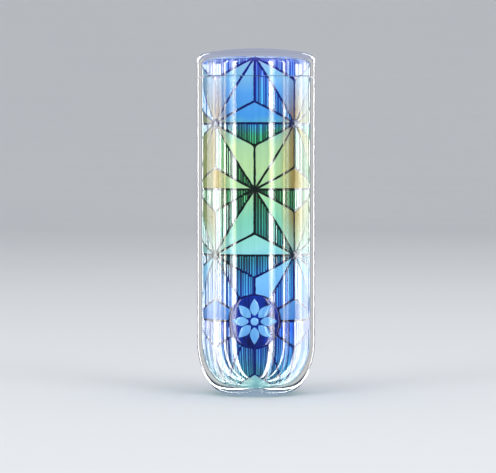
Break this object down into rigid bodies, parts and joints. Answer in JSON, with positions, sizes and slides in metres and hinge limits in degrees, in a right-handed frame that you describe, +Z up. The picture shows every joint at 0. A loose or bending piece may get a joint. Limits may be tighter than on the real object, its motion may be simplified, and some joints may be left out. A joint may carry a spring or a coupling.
{
  "type": "mezuzah case",
  "caption": "Round glass mezuzah case of nested tubes with a star-lattice pattern, a domed foot, a push-in cap with ring seals, and a rolled parchment inside.",
  "frame": {"origin": "middle of the flat foot, on the surface that the case stands on", "axes": "+Z up along the case's axis towards the cap, -Y towards the front with the medallion, +X to the right seen from the front"},
  "size_m": [0.028, 0.028, 0.0819],
  "materials": {
    "clear_glass": "clear, fire-polished",
    "patterned_glass": "fumed, iridescent, star lattice in dark lines",
    "blue_glass": "deep blue inlay, glossy",
    "dark_glass": "near black, glossy",
    "stopper_glass": "ground clear glass",
    "seal_rubber": "matt moulded rubber",
    "parchment": "scraped skin, matt",
    "band_leather": "thin calf strip, lightly polished"
  },
  "bodies": {
    "case": {"outer_casing": "clear_glass", "pattern_sleeve": "patterned_glass", "rosette_medallion": "blue_glass", "bore_liner": "dark_glass"},
    "seals": {"upper_seal_ring": "seal_rubber", "lower_seal_ring": "seal_rubber"},
    "cap": {"cap_casing": "clear_glass", "cap_pattern_cup": "patterned_glass", "cap_plug": "stopper_glass"},
    "scroll": {"parchment_scroll": "parchment", "scroll_band": "band_leather"}
  },
  "joints": [
    {"name": "cap_lift", "type": "slide", "parent": "case", "child": "seals", "axis": [0, 0, 1], "range_m": [0, 0.09]},
    {"name": "cap_turn", "type": "hinge", "parent": "seals", "child": "cap", "pos_m": [0, 0, 0.07505], "axis": [0, 0, 1], "continuous": true},
    {"name": "scroll_lift", "type": "slide", "parent": "case", "child": "scroll", "axis": [0, 0, 1], "range_m": [0, 0.073]}
  ],
  "couplings": [
    {"joint": "scroll_lift", "follows": "cap_lift", "ratio": 0.8}
  ]
}
